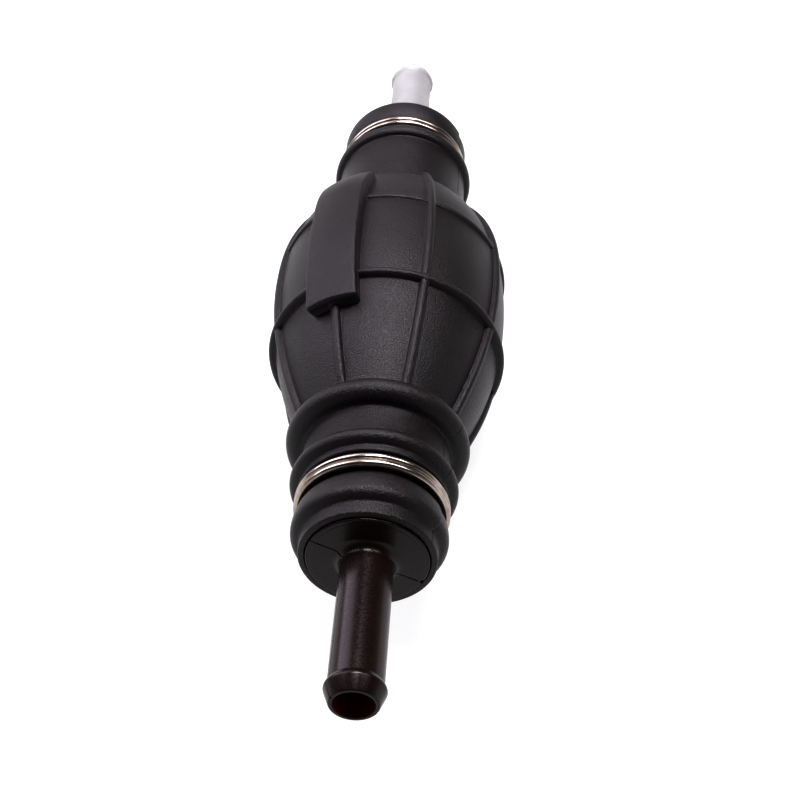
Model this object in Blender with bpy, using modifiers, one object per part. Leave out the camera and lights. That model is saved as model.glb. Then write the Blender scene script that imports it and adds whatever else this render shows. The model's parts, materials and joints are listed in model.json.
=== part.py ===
"""Siphon bulb pump: a hollow rubber bulb, squeezed by hand, with a one-way valve in each end.

The pump lies along Y on its belly, +Z up. Liquid enters at -Y and leaves at +Y. The origin is on the
surface that the pump lies on, under the middle of its length.

Each end holds the same plastic connector: a hose nozzle, an end disc and a cup that plugs the bulb's
neck. A wire clamp round the neck squeezes the rubber onto the cup. A sprung poppet in the cup lets
liquid through one way. At the inlet the poppet closes on the nozzle's own bore and a cage holds its
spring. At the outlet it closes on a seat disc and its spring stands on the end of the nozzle's bore.
"""

import math

import bpy
from mathutils import Euler, Vector

MM = 0.001

# Fits
FIT = 0.3 * MM  # gap kept between two pieces that touch
GUIDE_CLEARANCE = 0.3 * MM  # poppet tail in the bore that guides it

# Hose nozzle
HOSE_BORE = 8.0 * MM
NOZZLE_LENGTH = 25.2 * MM  # end disc to tip
NOZZLE_WALL = 1.0 * MM
TIP_RIM = 0.5 * MM  # width of the flat end of the tip
BARB_HEIGHT = 0.5 * MM
BARB_SETBACK = 2.45 * MM  # tip to the barb's crest
BARB_BACK = 0.9 * MM  # crest to where the barb meets the stem
NOZZLE_FILLET = 1.5 * MM

# Plug, the part of the connector inside the bulb's neck
DISC_THICKNESS = 2.0 * MM
DISC_STEP = 1.0 * MM  # how far the end disc stands out past the cup
DISC_PROUD = 0.4 * MM  # how far the end disc stands out of the rubber
DISC_CHAMFER = 0.3 * MM
CUP_WALL = 1.7 * MM
CUP_DEPTH = 19.5 * MM  # end disc's outer face to the cup's mouth
FLOOR_THICKNESS = 3.0 * MM
RIDGE_HEIGHT = 0.7 * MM  # barbed ridge that keeps the rubber from slipping off
RIDGE_SETBACK = 4.35 * MM  # end disc's outer face to the ridge's middle
RIDGE_HALF_WIDTH = 1.0 * MM
MOUTH_LIP = 1.0 * MM  # rim that the insert snaps past
INSERT_THICKNESS = 2.0 * MM
INSERT_GRIP = 0.2 * MM  # how far the insert reaches behind that rim

# Valve
SEAT_WALL = 1.4 * MM
SEAT_RISE = 0.8 * MM
SEAL_TUBE = 0.6 * MM  # radius of the sealing ring's section
HEAD_RIM = 0.7 * MM  # how far the poppet's head reaches past its sealing ring
HEAD_THICKNESS = 1.2 * MM
FLOW_GAP = 1.6 * MM  # space for liquid round the head
NOSE_LENGTH = 0.9 * MM
TAIL_ENGAGEMENT = 1.1 * MM  # how far the tail reaches into its guide with the valve shut
FIN_THICKNESS = 1.0 * MM
SPRING_WIRE = 0.3 * MM  # radius of the wire
SPRING_TURNS = 6
END_COIL_PITCH = 2.5 * SPRING_WIRE
CAGE_RIM_INSET = 1.2 * MM  # cup wall to the outer edge of the cage's windows
SPOKE_WIDTH = 1.2 * MM
WINDOW_LEDGE = 0.1 * MM  # hub to the inner edge of the cage's windows

# Bulb
BELLY_RADIUS = 19.9 * MM
BODY_NEAR_LENGTH = 33.0 * MM  # flange to the fullest section
BODY_FAR_LENGTH = 25.7 * MM  # fullest section to the outlet neck
INLET_NECK_LENGTH = 23.0 * MM  # end of the rubber to the flange
OUTLET_NECK_LENGTH = 28.5 * MM  # end of the rubber to the body
BULB_WALL = 3.0 * MM
COLLAR_WALL = 0.85 * MM  # lip of rubber round the end disc
COLLAR_LENGTH = 1.5 * MM
INLET_NECK_WALL = 3.1 * MM
OUTLET_NECK_WALL = 3.4 * MM
GROOVE_WALL = 1.9 * MM  # rubber left under the clamp
END_BEAD_WALL = 3.3 * MM
END_BEAD_WIDTH = 6.1 * MM
INNER_BEAD_WALL = 4.5 * MM
INNER_BEAD_HALF_WIDTH = 1.3 * MM
INNER_BEAD_GAP = 1.2 * MM  # clamp groove to the inner bead
GROOVE_SLOPE = 0.4 * MM  # length of the slope between the clamp groove and the neck
FLANGE_WALL = 6.05 * MM
FLANGE_HALF_WIDTH = 2.0 * MM
RIB_COUNT = 8
RIB_WIDTH = 1.6 * MM
RIB_HEIGHT = 0.9 * MM
HOOP_STANDOFF = 0.15 * MM  # how far both hoops stand out past the fullest section
HOOP_HALF_WIDTH = 0.85 * MM
MID_HOOP_OFFSET = 11.9 * MM  # fullest section to the hoop on its inlet side
FAR_HOOP_OFFSET = 8.7 * MM  # fullest section to the hoop on its outlet side
LEVER_WIDTH = 9.2 * MM
LEVER_HEIGHT = 2.5 * MM
LEVER_OVERHANG = 5.6 * MM  # how far the lever runs past the inlet-side hoop
NEAR_TAPER_POWER = 2.0
FAR_SHOULDER_POWER = 2.5
FAR_SHOULDER_ROOT = 0.82

# Wire clamp
CLAMP_WIRE = 0.6 * MM  # radius of the wire
CLAMP_SIDE_GAP = 0.6 * MM  # wire to the groove's side
CLAMP_TURNS = 2
CLAMP_END_TURN = 0.03  # share of a turn left open at each end of the wire
CLAMP_STEP_TURN = 0.08  # share of a turn either side of the middle of its sideways step

# Facets
BULB_SEGMENTS = 36
TURNED_SEGMENTS = 24
SEAL_SEGMENTS = 20
CLAMP_POINTS_PER_TURN = 24
SPRING_POINTS_PER_TURN = 10
SEAL_TUBE_SEGMENTS = 8
WIRE_BEVEL_RESOLUTION = 2
FAR_STATIONS = 8
NEAR_STATIONS = 7
HOOP_STEPS = 4
END_BEAD_STEPS = 5
INNER_BEAD_STEPS = 4
FLANGE_STEPS = 6
FILLET_STEPS = 3
EPSILON = 1.0e-6

# Derived radii, from the bore outwards
NOZZLE_RADIUS = HOSE_BORE / 2
BORE_RADIUS = NOZZLE_RADIUS - NOZZLE_WALL
TIP_RADIUS = BORE_RADIUS + TIP_RIM
BARB_RADIUS = NOZZLE_RADIUS + BARB_HEIGHT
SEAT_RADIUS = BORE_RADIUS + SEAT_WALL
SEAL_RADIUS = BORE_RADIUS + SEAT_WALL / 2
POPPET_NECK_RADIUS = SEAL_RADIUS - SEAL_TUBE - FIT
HEAD_RADIUS = SEAL_RADIUS + SEAL_TUBE + HEAD_RIM
TAIL_RADIUS = BORE_RADIUS - GUIDE_CLEARANCE
CUP_INNER_RADIUS = HEAD_RADIUS + FLOW_GAP
INSERT_RADIUS = CUP_INNER_RADIUS + INSERT_GRIP
INSERT_GROOVE_RADIUS = INSERT_RADIUS + FIT
CUP_RADIUS = CUP_INNER_RADIUS + CUP_WALL
RIDGE_RADIUS = CUP_RADIUS + RIDGE_HEIGHT
DISC_RADIUS = CUP_RADIUS + DISC_STEP
NECK_BORE_RADIUS = CUP_RADIUS + FIT
DISC_POCKET_RADIUS = DISC_RADIUS + FIT
COLLAR_RADIUS = DISC_POCKET_RADIUS + COLLAR_WALL
INLET_NECK_RADIUS = NECK_BORE_RADIUS + INLET_NECK_WALL
OUTLET_NECK_RADIUS = NECK_BORE_RADIUS + OUTLET_NECK_WALL
GROOVE_RADIUS = NECK_BORE_RADIUS + GROOVE_WALL
CLAMP_RADIUS = GROOVE_RADIUS + FIT + CLAMP_WIRE
HOOP_RADIUS = BELLY_RADIUS + HOOP_STANDOFF

# Derived stations. "Out" is a distance from the middle of the pump's length towards either tip.
BULB_LENGTH = INLET_NECK_LENGTH + BODY_NEAR_LENGTH + BODY_FAR_LENGTH + OUTLET_NECK_LENGTH
RUBBER_OUT = BULB_LENGTH / 2
DISC_OUT = RUBBER_OUT + DISC_PROUD
TIP_OUT = DISC_OUT + NOZZLE_LENGTH
DISC_BACK_OUT = DISC_OUT - DISC_THICKNESS
FLOOR_OUT = DISC_OUT - FLOOR_THICKNESS
BORE_SEAT_OUT = FLOOR_OUT - SEAT_RISE
MOUTH_OUT = DISC_OUT - CUP_DEPTH
RIDGE_OUT = DISC_OUT - RIDGE_SETBACK
INSERT_IN = MOUTH_OUT + MOUTH_LIP + FIT
INSERT_OUT = INSERT_IN + INSERT_THICKNESS
INSERT_SEAT_OUT = INSERT_OUT + SEAT_RISE
CLAMP_PITCH = 2 * CLAMP_WIRE + FIT
GROOVE_WIDTH = (CLAMP_TURNS - 1) * CLAMP_PITCH + 2 * CLAMP_WIRE + 2 * CLAMP_SIDE_GAP
GROOVE_END_OUT = RUBBER_OUT - COLLAR_LENGTH - END_BEAD_WIDTH
GROOVE_OUT = GROOVE_END_OUT - GROOVE_WIDTH / 2
GROOVE_START_OUT = GROOVE_END_OUT - GROOVE_WIDTH
INNER_BEAD_OUT = GROOVE_START_OUT - INNER_BEAD_GAP - INNER_BEAD_HALF_WIDTH
FLANGE_Y = -RUBBER_OUT + INLET_NECK_LENGTH
BELLY_Y = FLANGE_Y + BODY_NEAR_LENGTH
SHOULDER_Y = BELLY_Y + BODY_FAR_LENGTH
MID_HOOP_Y = BELLY_Y - MID_HOOP_OFFSET
FAR_HOOP_Y = BELLY_Y + FAR_HOOP_OFFSET
AXIS_HEIGHT = HOOP_RADIUS * math.cos(math.pi / BULB_SEGMENTS)

# Poppet, measured along its own axis from the seat it closes on, towards its tail
SEAL_ALONG = FIT + SEAL_TUBE
HEAD_ALONG = SEAL_ALONG + SEAL_TUBE + FIT
HEAD_BACK_ALONG = HEAD_ALONG + HEAD_THICKNESS
GUIDE_ALONG = BORE_SEAT_OUT - INSERT_SEAT_OUT
TAIL_ALONG = GUIDE_ALONG + TAIL_ENGAGEMENT
SPRING_START_ALONG = HEAD_BACK_ALONG + FIT
SPRING_END_ALONG = GUIDE_ALONG - FIT

INLET, OUTLET = -1, 1
RUBBER = ("rubber", (0.030, 0.030, 0.034), 0.55, 0.0)
BLACK_PLASTIC = ("black_plastic", (0.020, 0.016, 0.016), 0.25, 0.0)
WHITE_PLASTIC = ("white_plastic", (0.80, 0.79, 0.83), 0.35, 0.0)
VALVE_PLASTIC = ("valve_plastic", (0.70, 0.68, 0.62), 0.40, 0.0)
SEAL_RUBBER = ("seal_rubber", (0.025, 0.025, 0.025), 0.45, 0.0)
CLAMP_STEEL = ("clamp_steel", (0.72, 0.69, 0.62), 0.25, 1.0)
SPRING_STEEL = ("spring_steel", (0.70, 0.71, 0.72), 0.25, 1.0)


def clear_scene():
    for thing in list(bpy.data.objects):
        bpy.data.objects.remove(thing)


def new_collection(name):
    collection = bpy.data.collections.new(name)
    bpy.context.scene.collection.children.link(collection)
    return collection


def move_to(thing, collection):
    for owner in list(thing.users_collection):
        owner.objects.unlink(thing)
    collection.objects.link(thing)


def give_material(thing, look):
    slot, colour, roughness, metallic = look
    material = bpy.data.materials.new(f"{thing.name}_{slot}")
    material.use_nodes = True
    shader = material.node_tree.nodes["Principled BSDF"]
    shader.inputs["Base Color"].default_value = (*colour, 1.0)
    shader.inputs["Roughness"].default_value = roughness
    shader.inputs["Metallic"].default_value = metallic
    thing.data.materials.append(material)


def as_cutter(thing):
    move_to(thing, CUTTERS)
    thing.hide_render = True
    thing.display_type = "WIRE"
    return thing


def on_axis(thing, y=0.0):
    """Lays a shape made round local Z along the pump's axis, local +Z towards +Y."""
    thing.rotation_euler = (-math.pi / 2, 0.0, 0.0)
    thing.location = (0.0, y, AXIS_HEIGHT)


def turned(name, outline, segments, closed):
    """Turns an outline of (y, radius) stations, which runs from +Y to -Y on its outer side.
    Each turned shape has a flat, not an edge, at its lowest point."""
    phase = math.pi / segments
    points = [(r * math.cos(phase), r * math.sin(phase), y) for y, r in outline]
    edges = [(i, i + 1) for i in range(len(points) - 1)]
    if closed:
        edges.append((len(points) - 1, 0))
    mesh = bpy.data.meshes.new(name)
    mesh.from_pydata(points, edges, [])
    thing = bpy.data.objects.new(name, mesh)
    PUMP.objects.link(thing)
    on_axis(thing)
    screw = thing.modifiers.new("turn", "SCREW")
    screw.axis = "Z"
    screw.angle = 2 * math.pi
    screw.steps = segments
    screw.render_steps = segments
    screw.use_merge_vertices = True
    screw.merge_threshold = EPSILON
    screw.use_smooth_shade = True
    return thing


def block(name, size, y, turn=0.0, lift=0.0):
    """A box centred at station y, turned about the pump's axis and moved out from it by lift."""
    bpy.ops.mesh.primitive_cube_add(size=1.0)
    thing = bpy.context.active_object
    thing.name = name
    spin = Euler((0.0, turn, 0.0))
    offset = Vector((0.0, y, lift))
    offset.rotate(spin)
    for vertex in thing.data.vertices:
        point = Vector([a * b for a, b in zip(vertex.co, size)])
        point.rotate(spin)
        vertex.co = point
    thing.location = offset + Vector((0.0, 0.0, AXIS_HEIGHT))
    return as_cutter(thing)


def boolean(thing, tool, operation):
    step = thing.modifiers.new(f"{operation.lower()} {tool.name}", "BOOLEAN")
    step.operation = operation
    step.solver = "EXACT"
    step.object = tool
    return step


def wire(name, points, radius, look):
    """A round wire through points given in metres about the pump's axis."""
    curve = bpy.data.curves.new(name, "CURVE")
    curve.dimensions = "3D"
    curve.bevel_depth = radius
    curve.bevel_resolution = WIRE_BEVEL_RESOLUTION
    curve.use_fill_caps = True
    spline = curve.splines.new("POLY")
    spline.points.add(len(points) - 1)
    for knot, point in zip(spline.points, points):
        knot.co = (*point, 1.0)
    thing = bpy.data.objects.new(name, curve)
    PUMP.objects.link(thing)
    thing.location = (0.0, 0.0, AXIS_HEIGHT)
    give_material(thing, look)
    return thing


def at_end(outline, end):
    """Places an outline of (out, radius) stations, listed from the tip inwards, at either end."""
    placed = [(end * out, radius) for out, radius in outline]
    return placed if end == OUTLET else placed[::-1]


def hump(centre, half_width, base, peak, steps):
    """Half an ellipse standing on base, listed from high station to low, without its two feet."""
    angles = [math.pi * i / steps for i in range(1, steps)]
    return [(centre + half_width * math.cos(a), base + (peak - base) * math.sin(a)) for a in angles]


def quarter(centre, radius_centre, size, start, steps):
    """A quarter circle of fillet, from start to start + 90 degrees, as (out, radius) stations."""
    angles = [start + math.pi / 2 * i / steps for i in range(steps + 1)]
    return [(centre + size * math.cos(a), radius_centre + size * math.sin(a)) for a in angles]


# Bulb


def skin_radius(y):
    """Radius of the bare body between its ribs: a parabola towards the flange, a rounder shoulder
    towards the outlet neck."""
    if y <= BELLY_Y:
        share = min(1.0, (BELLY_Y - y) / BODY_NEAR_LENGTH)
        return INLET_NECK_RADIUS + (BELLY_RADIUS - INLET_NECK_RADIUS) * (1 - share**NEAR_TAPER_POWER)
    share = min(1.0, (y - BELLY_Y) / BODY_FAR_LENGTH)
    fall = max(0.0, 1 - share**FAR_SHOULDER_POWER) ** FAR_SHOULDER_ROOT
    return OUTLET_NECK_RADIUS + (BELLY_RADIUS - OUTLET_NECK_RADIUS) * fall


def body_skin():
    """The bare body from the outlet neck to the flange, closer stations on the far shoulder."""
    angles = [math.pi / 2 * i / FAR_STATIONS for i in range(FAR_STATIONS)]
    far = [BELLY_Y + BODY_FAR_LENGTH * math.cos(angle) for angle in angles]
    near = [BELLY_Y - BODY_NEAR_LENGTH * i / NEAR_STATIONS for i in range(NEAR_STATIONS + 1)]
    return [(y, skin_radius(y)) for y in far + near]


def offset(outline, distance):
    """Moves an outline, listed from +Y to -Y, out of the rubber by distance along its normals."""
    moved = []
    for i, (y, r) in enumerate(outline):
        y0, r0 = outline[max(0, i - 1)]
        y1, r1 = outline[min(len(outline) - 1, i + 1)]
        length = math.hypot(y1 - y0, r1 - r0)
        moved.append((y + distance * (r1 - r0) / length, r + distance * (y0 - y1) / length))
    return moved


def body_with_hoops():
    """The body with its two hoop ribs."""
    stations = body_skin()
    for hoop_y in (FAR_HOOP_Y, MID_HOOP_Y):
        low, high = hoop_y - HOOP_HALF_WIDTH, hoop_y + HOOP_HALF_WIDTH
        feet = [(high, skin_radius(high)), (low, skin_radius(low))]
        crest = hump(hoop_y, HOOP_HALF_WIDTH, skin_radius(hoop_y), HOOP_RADIUS, HOOP_STEPS)
        stations = [s for s in stations if not low - HOOP_HALF_WIDTH < s[0] < high + HOOP_HALF_WIDTH]
        stations += [feet[0], *crest, feet[1]]
        stations.sort(key=lambda s: -s[0])
    return stations


def neck_end(neck_radius):
    """Rubber at either end, from the end face inwards: collar, bead, clamp groove, inner bead."""
    bead_centre = RUBBER_OUT - COLLAR_LENGTH - END_BEAD_WIDTH / 2
    bead_peak = NECK_BORE_RADIUS + END_BEAD_WALL
    inner_peak = NECK_BORE_RADIUS + INNER_BEAD_WALL
    return [
        (RUBBER_OUT, 0.0),
        (RUBBER_OUT, COLLAR_RADIUS),
        (RUBBER_OUT - COLLAR_LENGTH, COLLAR_RADIUS),
        *hump(bead_centre, END_BEAD_WIDTH / 2, GROOVE_RADIUS, bead_peak, END_BEAD_STEPS),
        (GROOVE_END_OUT, GROOVE_RADIUS),
        (GROOVE_START_OUT, GROOVE_RADIUS),
        (GROOVE_START_OUT - GROOVE_SLOPE, neck_radius),
        (INNER_BEAD_OUT + INNER_BEAD_HALF_WIDTH, neck_radius),
        *hump(INNER_BEAD_OUT, INNER_BEAD_HALF_WIDTH, neck_radius, inner_peak, INNER_BEAD_STEPS),
        (INNER_BEAD_OUT - INNER_BEAD_HALF_WIDTH, neck_radius),
    ]


def bulb_outline():
    flange_peak = NECK_BORE_RADIUS + FLANGE_WALL
    flange = [
        (FLANGE_Y + FLANGE_HALF_WIDTH, skin_radius(FLANGE_Y + FLANGE_HALF_WIDTH)),
        *hump(FLANGE_Y, FLANGE_HALF_WIDTH, INLET_NECK_RADIUS, flange_peak, FLANGE_STEPS),
        (FLANGE_Y - FLANGE_HALF_WIDTH, INLET_NECK_RADIUS),
    ]
    body = [s for s in body_with_hoops() if s[0] > FLANGE_Y + 1.5 * FLANGE_HALF_WIDTH]
    outlet_end = at_end(neck_end(OUTLET_NECK_RADIUS), OUTLET)
    inlet_end = at_end(neck_end(INLET_NECK_RADIUS), INLET)
    return outlet_end + body + flange + inlet_end


def cavity_end():
    """Hollow of either neck, from outside the end face inwards: disc pocket, ridge groove, bore."""
    ridge_low = RIDGE_OUT - RIDGE_HALF_WIDTH - FIT
    ridge_high = RIDGE_OUT + RIDGE_HALF_WIDTH + FIT
    return [
        (DISC_OUT + FIT, 0.0),
        (DISC_OUT + FIT, DISC_POCKET_RADIUS),
        (DISC_BACK_OUT - FIT, DISC_POCKET_RADIUS),
        (DISC_BACK_OUT - FIT, NECK_BORE_RADIUS),
        (ridge_high, NECK_BORE_RADIUS),
        (ridge_high - FIT, RIDGE_RADIUS + FIT),
        (ridge_low + FIT, RIDGE_RADIUS + FIT),
        (ridge_low, NECK_BORE_RADIUS),
    ]


def cavity_outline():
    """The hollow inside the bulb. Its wall is even, apart from the necks."""
    inner = offset(body_skin(), -BULB_WALL)
    chamber = [s for s in inner if s[1] > NECK_BORE_RADIUS and s[0] > FLANGE_Y + BULB_WALL]
    chamber_far = chamber[0][0] + BULB_WALL / 2
    chamber_near = FLANGE_Y
    ends = [(chamber_far, NECK_BORE_RADIUS), *chamber, (chamber_near, NECK_BORE_RADIUS)]
    return at_end(cavity_end(), OUTLET) + ends + at_end(cavity_end(), INLET)


def shell_outline(distance):
    """The body thickened by distance, as a solid that the ribs and the lever are cut from."""
    outer = offset(body_skin(), distance)
    return [(outer[0][0], 0.0), *outer, (outer[-1][0], 0.0)]


def make_ribs(bulb):
    shell = as_cutter(turned("rib_shell", shell_outline(RIB_HEIGHT), BULB_SEGMENTS, False))
    length = BODY_NEAR_LENGTH + BODY_FAR_LENGTH - RIB_WIDTH
    middle = FLANGE_Y + length / 2
    reach = 2 * (BELLY_RADIUS + 2 * RIB_HEIGHT)
    for i in range(RIB_COUNT // 2):
        turn = 2 * math.pi * (i + 0.5) / RIB_COUNT
        slab = block(f"rib_pair_{i + 1}", (RIB_WIDTH, length, reach), middle, turn)
        boolean(slab, shell, "INTERSECT")
        boolean(bulb, slab, "UNION")


def make_lever(bulb):
    """The raised pad along one rib, like a folded-down lever, from the outlet neck past a hoop."""
    shell = as_cutter(turned("lever_shell", shell_outline(LEVER_HEIGHT), BULB_SEGMENTS, False))
    near = MID_HOOP_Y - LEVER_OVERHANG
    length = SHOULDER_Y - near
    top = BELLY_RADIUS + 2 * LEVER_HEIGHT
    bottom = NECK_BORE_RADIUS + BULB_WALL / 2
    size = (LEVER_WIDTH, length, top - bottom)
    bar = block("lever_bar", size, near + length / 2, -math.pi / RIB_COUNT, (top + bottom) / 2)
    boolean(bar, shell, "INTERSECT")
    boolean(bulb, bar, "UNION")


def make_bulb():
    bulb = turned("bulb", bulb_outline(), BULB_SEGMENTS, False)
    make_ribs(bulb)
    make_lever(bulb)
    cavity = as_cutter(turned("bulb_cavity", cavity_outline(), BULB_SEGMENTS, False))
    boolean(bulb, cavity, "DIFFERENCE")
    give_material(bulb, RUBBER)


# Connectors and clamps


def connector_outline():
    """Closed outline of either connector, from the tip inwards on the outside, back on the inside."""
    fillet_radius = NOZZLE_RADIUS + NOZZLE_FILLET
    fillet = quarter(DISC_OUT + NOZZLE_FILLET, fillet_radius, NOZZLE_FILLET, math.pi, FILLET_STEPS)
    insert_low = INSERT_IN - FIT
    insert_high = INSERT_OUT + FIT
    return [
        (TIP_OUT, BORE_RADIUS),
        (TIP_OUT, TIP_RADIUS),
        (TIP_OUT - BARB_SETBACK, BARB_RADIUS),
        (TIP_OUT - BARB_SETBACK - BARB_BACK, NOZZLE_RADIUS),
        *fillet[::-1],
        (DISC_OUT, DISC_RADIUS - DISC_CHAMFER),
        (DISC_OUT - DISC_CHAMFER, DISC_RADIUS),
        (DISC_BACK_OUT, DISC_RADIUS),
        (DISC_BACK_OUT, CUP_RADIUS),
        (RIDGE_OUT + RIDGE_HALF_WIDTH, CUP_RADIUS),
        (RIDGE_OUT + RIDGE_HALF_WIDTH / 3, RIDGE_RADIUS),
        (RIDGE_OUT - RIDGE_HALF_WIDTH / 3, RIDGE_RADIUS),
        (RIDGE_OUT - RIDGE_HALF_WIDTH, CUP_RADIUS),
        (MOUTH_OUT, CUP_RADIUS),
        (MOUTH_OUT, CUP_INNER_RADIUS),
        (insert_low, CUP_INNER_RADIUS),
        (insert_low, INSERT_GROOVE_RADIUS),
        (insert_high, INSERT_GROOVE_RADIUS),
        (insert_high, CUP_INNER_RADIUS),
        (FLOOR_OUT, CUP_INNER_RADIUS),
        (FLOOR_OUT, SEAT_RADIUS),
        (BORE_SEAT_OUT, SEAT_RADIUS),
        (BORE_SEAT_OUT, BORE_RADIUS),
    ]


def make_connector(name, end, look):
    connector = turned(name, at_end(connector_outline(), end), TURNED_SEGMENTS, True)
    give_material(connector, look)


def clamp_points(end):
    """Two flat turns of wire side by side, joined by one short sideways step, like a split ring."""
    count = CLAMP_TURNS * CLAMP_POINTS_PER_TURN
    points = []
    for i in range(count + 1):
        turns = CLAMP_END_TURN + (CLAMP_TURNS - 2 * CLAMP_END_TURN) * i / count
        shift = min(1.0, max(0.0, (turns - 1 + CLAMP_STEP_TURN) / (2 * CLAMP_STEP_TURN)))
        out = GROOVE_OUT + CLAMP_PITCH * (0.5 - shift * shift * (3 - 2 * shift))
        angle = 2 * math.pi * turns
        points.append((CLAMP_RADIUS * math.cos(angle), end * out, -CLAMP_RADIUS * math.sin(angle)))
    return points


# Valves


def along_valve(distance, end):
    """Station y of a point along a valve. Both valves close towards the inlet and open towards +Y."""
    seat_y = -BORE_SEAT_OUT if end == INLET else INSERT_SEAT_OUT
    return seat_y + distance


def make_poppet(name, end):
    """Head and nose, turned, with a cross of guide fins for a tail."""
    stations = [
        (HEAD_BACK_ALONG, 0.0),
        (HEAD_BACK_ALONG, HEAD_RADIUS),
        (HEAD_ALONG, HEAD_RADIUS),
        (HEAD_ALONG, POPPET_NECK_RADIUS),
        (0.0, POPPET_NECK_RADIUS),
        (-NOSE_LENGTH, POPPET_NECK_RADIUS * 2 / 3),
        (-NOSE_LENGTH, 0.0),
    ]
    outline = [(along_valve(distance, end), radius) for distance, radius in stations]
    poppet = turned(name, outline, TURNED_SEGMENTS, False)
    start = HEAD_BACK_ALONG - HEAD_THICKNESS / 2
    length = TAIL_ALONG - start
    half_width = math.sqrt(TAIL_RADIUS**2 - (FIN_THICKNESS / 2) ** 2)
    middle = along_valve(start + length / 2, end)
    for i, turn in enumerate((0.0, math.pi / 2)):
        fin = block(f"{name}_fin_{i + 1}", (FIN_THICKNESS, length, 2 * half_width), middle, turn)
        boolean(poppet, fin, "UNION")
    give_material(poppet, VALVE_PLASTIC)


def make_seal(name, end):
    bpy.ops.mesh.primitive_torus_add(
        major_radius=SEAL_RADIUS,
        minor_radius=SEAL_TUBE,
        major_segments=SEAL_SEGMENTS,
        minor_segments=SEAL_TUBE_SEGMENTS,
    )
    seal = bpy.context.active_object
    seal.name = name
    on_axis(seal, along_valve(SEAL_ALONG, end))
    seal.data.shade_smooth()
    move_to(seal, PUMP)
    give_material(seal, SEAL_RUBBER)


def spring_points(end):
    """Compression spring: one closed coil at each end and even coils between."""
    low = SPRING_START_ALONG + SPRING_WIRE
    high = SPRING_END_ALONG - SPRING_WIRE
    open_turns = SPRING_TURNS - 2
    open_pitch = (high - low - 2 * END_COIL_PITCH) / open_turns
    count = SPRING_TURNS * SPRING_POINTS_PER_TURN
    points = []
    for i in range(count + 1):
        turns = SPRING_TURNS * i / count
        closed_turns = min(turns, 1.0) + max(0.0, turns - SPRING_TURNS + 1)
        rise = low + END_COIL_PITCH * closed_turns + open_pitch * (turns - closed_turns)
        angle = 2 * math.pi * turns
        y = along_valve(rise, end)
        points.append((SEAL_RADIUS * math.cos(angle), y, SEAL_RADIUS * math.sin(angle)))
    return points


def insert_outline():
    """A disc that snaps into the cup's mouth, with a raised ring round its hole."""
    return [
        (INSERT_SEAT_OUT, BORE_RADIUS),
        (INSERT_SEAT_OUT, SEAT_RADIUS),
        (INSERT_OUT, SEAT_RADIUS),
        (INSERT_OUT, INSERT_RADIUS),
        (INSERT_IN, INSERT_RADIUS),
        (INSERT_IN, BORE_RADIUS),
    ]


def make_insert(name, end):
    insert = turned(name, at_end(insert_outline(), end), TURNED_SEGMENTS, True)
    give_material(insert, VALVE_PLASTIC)
    return insert


def make_cage():
    """The inlet's insert, opened by four windows, leaves its hub held by four spokes."""
    cage = make_insert("inlet_cage", INLET)
    outer = CUP_INNER_RADIUS - CAGE_RIM_INSET
    thick = INSERT_THICKNESS + 2 * FIT
    window = [
        (INSERT_OUT + FIT, SEAT_RADIUS + WINDOW_LEDGE),
        (INSERT_OUT + FIT, outer),
        (INSERT_IN - FIT, outer),
        (INSERT_IN - FIT, SEAT_RADIUS + WINDOW_LEDGE),
    ]
    windows = as_cutter(turned("cage_windows", at_end(window, INLET), TURNED_SEGMENTS, True))
    middle = -(INSERT_IN + INSERT_OUT) / 2
    for i, turn in enumerate((math.pi / 4, 3 * math.pi / 4)):
        spoke = block(f"cage_spokes_{i + 1}", (SPOKE_WIDTH, 2 * thick, 3 * outer), middle, turn)
        boolean(windows, spoke, "DIFFERENCE")
    boolean(cage, windows, "DIFFERENCE")


clear_scene()
PUMP = new_collection("siphon_bulb_pump")
CUTTERS = new_collection("cutters")
make_bulb()
make_connector("inlet_connector", INLET, BLACK_PLASTIC)
make_connector("outlet_connector", OUTLET, WHITE_PLASTIC)
for END_NAME, END in (("inlet", INLET), ("outlet", OUTLET)):
    wire(f"{END_NAME}_clamp", clamp_points(END), CLAMP_WIRE, CLAMP_STEEL)
    make_poppet(f"{END_NAME}_poppet", END)
    make_seal(f"{END_NAME}_seal", END)
    wire(f"{END_NAME}_spring", spring_points(END), SPRING_WIRE, SPRING_STEEL)
make_cage()
make_insert("outlet_seat", OUTLET)
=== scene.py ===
"""Siphon bulb pump: a ribbed rubber bulb with a hose nozzle and a one-way valve in each end.

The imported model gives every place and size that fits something. The sections below follow the pump as
it is put together: the studio it stands in, the rubber bulb, the two nozzles, the wire clamps, and then
the valves inside. Shapes are worked out in millimetres about the pump's own axis, which runs along Y,
and become metres where a mesh is made.
"""

import json
import math

import bpy
import numpy as np
from mathutils import Matrix, Vector

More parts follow.
